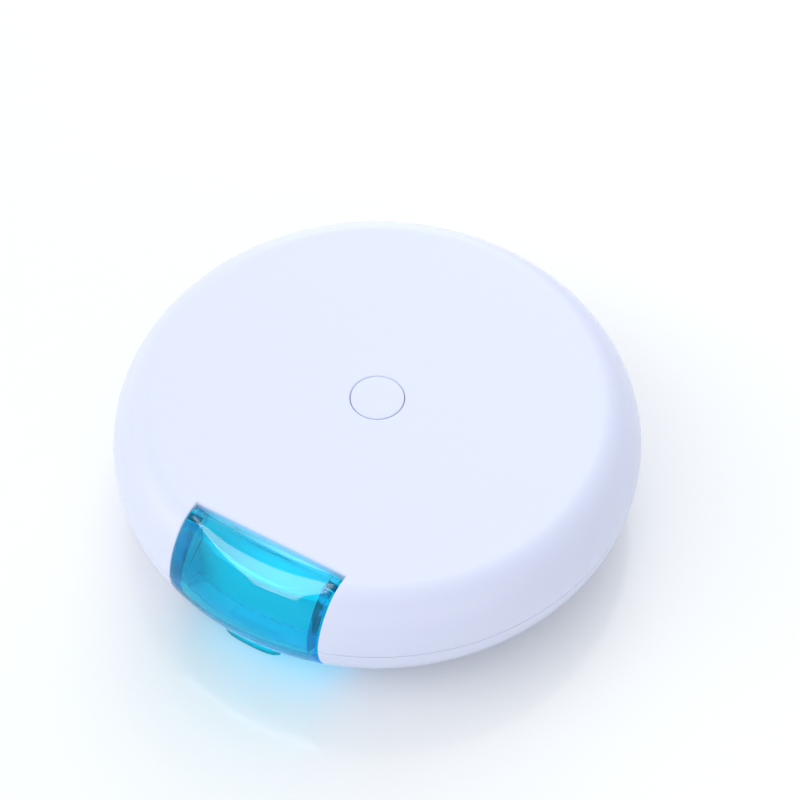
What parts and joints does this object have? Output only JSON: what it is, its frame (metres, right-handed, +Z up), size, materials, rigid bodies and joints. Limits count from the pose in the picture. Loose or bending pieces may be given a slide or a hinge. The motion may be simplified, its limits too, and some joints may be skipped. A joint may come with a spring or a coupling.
{
  "type": "rotary pill case",
  "caption": "Round two-shell pill case with a turning tray of cells, a hinged clear flap over a window in the rim and a centre button that steps the tray on.",
  "frame": {"origin": "centre of the resting plane, under the centre button", "axes": "+Z up along the button's and the tray's axis; the window and its flap face -Y; +X to the right as seen from the window"},
  "size_m": [0.094, 0.094, 0.025],
  "materials": {
    "shell": "gloss white, fine and smooth",
    "flap": "clear blue, polished",
    "tray": "milky satin",
    "acetal": "natural acetal, satin",
    "steel": "bright zinc-plated steel",
    "rubber": "matte grey elastomer"
  },
  "bodies": {
    "case": {"upper_shell": "shell", "lower_shell": "shell", "rubber_feet": "rubber", "hinge_pins": "steel", "button_guide": "acetal", "spindle": "steel", "spindle_screw": "steel", "thrust_washer": "acetal", "bearing_washer": "steel", "detent_spring": "steel", "detent_screw": "steel", "return_spring": "steel"},
    "carousel": {"carousel_tray": "tray", "hub_bush": "acetal", "ratchet_crown": "acetal"},
    "button": {"push_button": "shell", "plunger": "acetal", "drive_pins": "steel"},
    "sleeve": {"drive_sleeve": "acetal"},
    "flap": {"flap": "flap"}
  },
  "joints": [
    {"name": "flap_hinge", "type": "hinge", "parent": "case", "child": "flap", "pos_m": [0, -0.0372, 0.0232], "axis": [-1, 0, 0], "range_deg": [0, 95]},
    {"name": "carousel_spin", "type": "hinge", "parent": "case", "child": "carousel", "pos_m": [0, 0, 0], "axis": [0, 0, 1], "continuous": true},
    {"name": "button_press", "type": "slide", "parent": "case", "child": "button", "axis": [0, 0, -1], "range_m": [0, 0.004], "stiffness_N_per_m": 250, "springref_m": -0.004, "deforming": ["return_spring"]},
    {"name": "sleeve_turn", "type": "hinge", "parent": "case", "child": "sleeve", "pos_m": [0, 0, 0], "axis": [0, 0, 1], "range_deg": [0, 51.43]}
  ],
  "couplings": [
    {"joint": "sleeve_turn", "follows": "button_press", "rad_per_m": 224.4}
  ]
}
